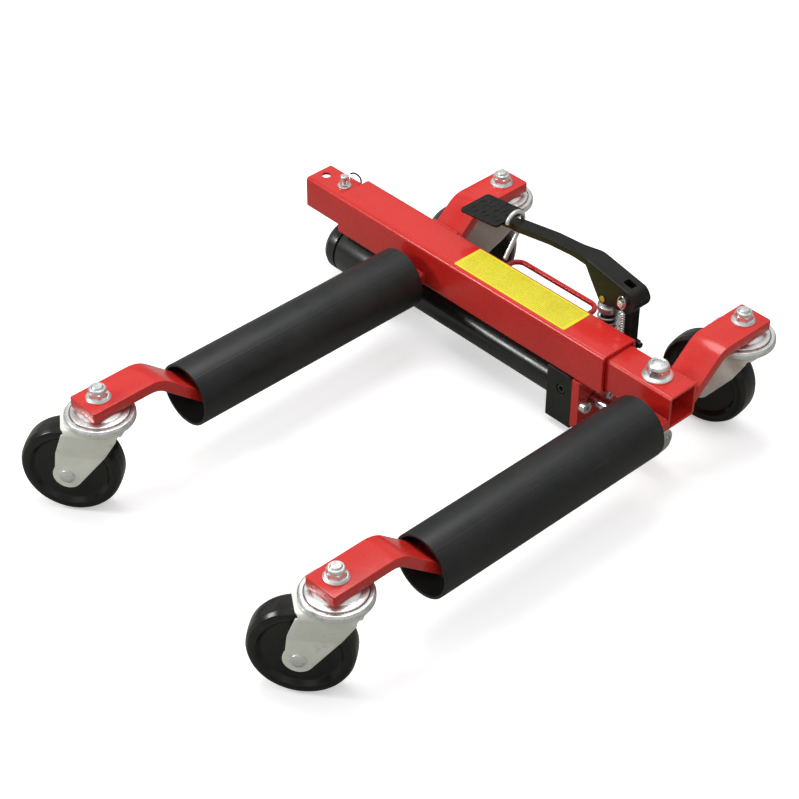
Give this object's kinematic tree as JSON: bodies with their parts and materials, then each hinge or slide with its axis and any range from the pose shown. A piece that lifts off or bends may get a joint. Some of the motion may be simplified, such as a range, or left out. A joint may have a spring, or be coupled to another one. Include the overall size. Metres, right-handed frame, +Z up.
{
  "type": "hydraulic wheel dolly",
  "caption": "Low telescoping square-tube frame with two idle rollers that squeeze under a tyre, a foot-pumped pull ram below the beam and swivel castors on bent bars.",
  "frame": {"origin": "floor level, centre of the footprint", "axes": "+X along the telescoping beam towards the sliding side, +Y from the rollers towards the pedal side, +Z up"},
  "size_m": [0.5713, 0.6646, 0.177],
  "materials": {
    "red_paint": "gloss",
    "yellow_label": "satin",
    "roller_black": "satin",
    "nylon": "matte",
    "castor_tyre": "gloss",
    "bright_steel": "polished",
    "brass": "satin",
    "cord": "matte",
    "black_enamel": "semi-gloss",
    "zinc": "zinc plated"
  },
  "bodies": {
    "fixed_frame": {"outer_tube": "red_paint", "left_front_arm": "red_paint", "left_rear_arm": "red_paint", "handle_loop": "red_paint", "beam_label": "yellow_label", "reservoir": "black_enamel", "reservoir_cap": "black_enamel", "ram_cylinder": "black_enamel", "pump_block": "black_enamel", "ram_bracket": "red_paint", "front_bracket_bolt": "zinc", "rear_bracket_bolt": "zinc", "fulcrum_post": "black_enamel", "post_screw": "black_enamel", "pivot_pin": "zinc", "return_spring": "zinc", "left_front_castor_stem": "zinc", "left_front_lock_nut": "zinc", "left_rear_castor_stem": "zinc", "left_rear_lock_nut": "zinc"},
    "sliding_frame": {"inner_tube": "red_paint", "right_front_arm": "red_paint", "right_rear_arm": "red_paint", "ram_rod": "bright_steel", "ram_lug": "red_paint", "ram_rod_nut": "zinc", "clamp_bolt": "zinc", "lanyard": "cord", "right_front_castor_stem": "zinc", "right_front_lock_nut": "zinc", "right_rear_castor_stem": "zinc", "right_rear_lock_nut": "zinc"},
    "left_roller": {"left_roller_tube": "roller_black", "left_roller_front_bush": "nylon", "left_roller_rear_bush": "nylon"},
    "right_roller": {"right_roller_tube": "roller_black", "right_roller_front_bush": "nylon", "right_roller_rear_bush": "nylon"},
    "pedal": {"pedal_lever": "black_enamel", "press_pin": "brass"},
    "plunger": {"pump_plunger": "black_enamel", "plunger_cap": "bright_steel", "plunger_spring": "zinc"},
    "hold_down_hook": {"hold_down_hook": "bright_steel"},
    "lock_pin": {"lock_pin": "zinc", "lock_pin_ring": "zinc"},
    "release_valve": {"release_valve": "black_enamel"},
    "left_front_swivel": {"left_front_fork": "zinc", "left_front_axle": "zinc"},
    "left_front_wheel": {"left_front_wheel": "castor_tyre"},
    "right_front_swivel": {"right_front_fork": "zinc", "right_front_axle": "zinc"},
    "right_front_wheel": {"right_front_wheel": "castor_tyre"},
    "left_rear_swivel": {"left_rear_fork": "zinc", "left_rear_axle": "zinc"},
    "left_rear_wheel": {"left_rear_wheel": "castor_tyre"},
    "right_rear_swivel": {"right_rear_fork": "zinc", "right_rear_axle": "zinc"},
    "right_rear_wheel": {"right_rear_wheel": "castor_tyre"}
  },
  "joints": [
    {"name": "frame_slide", "type": "slide", "parent": "fixed_frame", "child": "sliding_frame", "axis": [1, 0, 0], "range_m": [-0.03, 0.006]},
    {"name": "left_roller_spin", "type": "hinge", "parent": "fixed_frame", "child": "left_roller", "pos_m": [-0.1037, -0.0127, 0.086], "axis": [0, 1, 0], "continuous": true},
    {"name": "right_roller_spin", "type": "hinge", "parent": "sliding_frame", "child": "right_roller", "pos_m": [0.2478, -0.0127, 0.086], "axis": [0, 1, 0], "continuous": true},
    {"name": "pedal_press", "type": "hinge", "parent": "fixed_frame", "child": "pedal", "pos_m": [0.1523, 0.2288, 0.152], "axis": [0, -1, 0], "range_deg": [0, 12]},
    {"name": "plunger_slide", "type": "slide", "parent": "fixed_frame", "child": "plunger", "axis": [0, 0, -1], "range_m": [0, 0.006], "deforming": ["plunger_spring"]},
    {"name": "hook_swing", "type": "hinge", "parent": "pedal", "child": "hold_down_hook", "pos_m": [-0.0187, 0.2288, 0.1605], "axis": [1, 0, 0], "range_deg": [0, 90]},
    {"name": "lock_pin_pull", "type": "slide", "parent": "sliding_frame", "child": "lock_pin", "axis": [0, 0, 1], "range_m": [0, 0.05]},
    {"name": "release_valve_turn", "type": "hinge", "parent": "fixed_frame", "child": "release_valve", "pos_m": [0.1248, 0.1598, 0.053], "axis": [0, -1, 0], "range_deg": [0, 180]},
    {"name": "left_front_swivel", "type": "hinge", "parent": "fixed_frame", "child": "left_front_swivel", "pos_m": [-0.1037, -0.2702, 0.114], "axis": [0, 0, 1], "continuous": true},
    {"name": "left_front_wheel_spin", "type": "hinge", "parent": "left_front_swivel", "child": "left_front_wheel", "pos_m": [-0.13006, -0.29006, 0.0525], "axis": [0.6018, -0.7986, 0], "continuous": true},
    {"name": "right_front_swivel", "type": "hinge", "parent": "sliding_frame", "child": "right_front_swivel", "pos_m": [0.2478, -0.2702, 0.114], "axis": [0, 0, 1], "continuous": true},
    {"name": "right_front_wheel_spin", "type": "hinge", "parent": "right_front_swivel", "child": "right_front_wheel", "pos_m": [0.22208, -0.29088, 0.0525], "axis": [0.6266, -0.7793, 0], "continuous": true},
    {"name": "left_rear_swivel", "type": "hinge", "parent": "fixed_frame", "child": "left_rear_swivel", "pos_m": [-0.1037, 0.2948, 0.114], "axis": [0, 0, 1], "continuous": true},
    {"name": "left_rear_wheel_spin", "type": "hinge", "parent": "left_rear_swivel", "child": "left_rear_wheel", "pos_m": [-0.1304, 0.2754, 0.0525], "axis": [0.5878, -0.809, 0], "continuous": true},
    {"name": "right_rear_swivel", "type": "hinge", "parent": "sliding_frame", "child": "right_rear_swivel", "pos_m": [0.2478, 0.2948, 0.114], "axis": [0, 0, 1], "continuous": true},
    {"name": "right_rear_wheel_spin", "type": "hinge", "parent": "right_rear_swivel", "child": "right_rear_wheel", "pos_m": [0.21512, 0.29021, 0.0525], "axis": [0.1392, -0.9903, 0], "continuous": true}
  ],
  "couplings": [
    {"joint": "plunger_slide", "follows": "pedal_press", "m_per_rad": 0.0275}
  ]
}
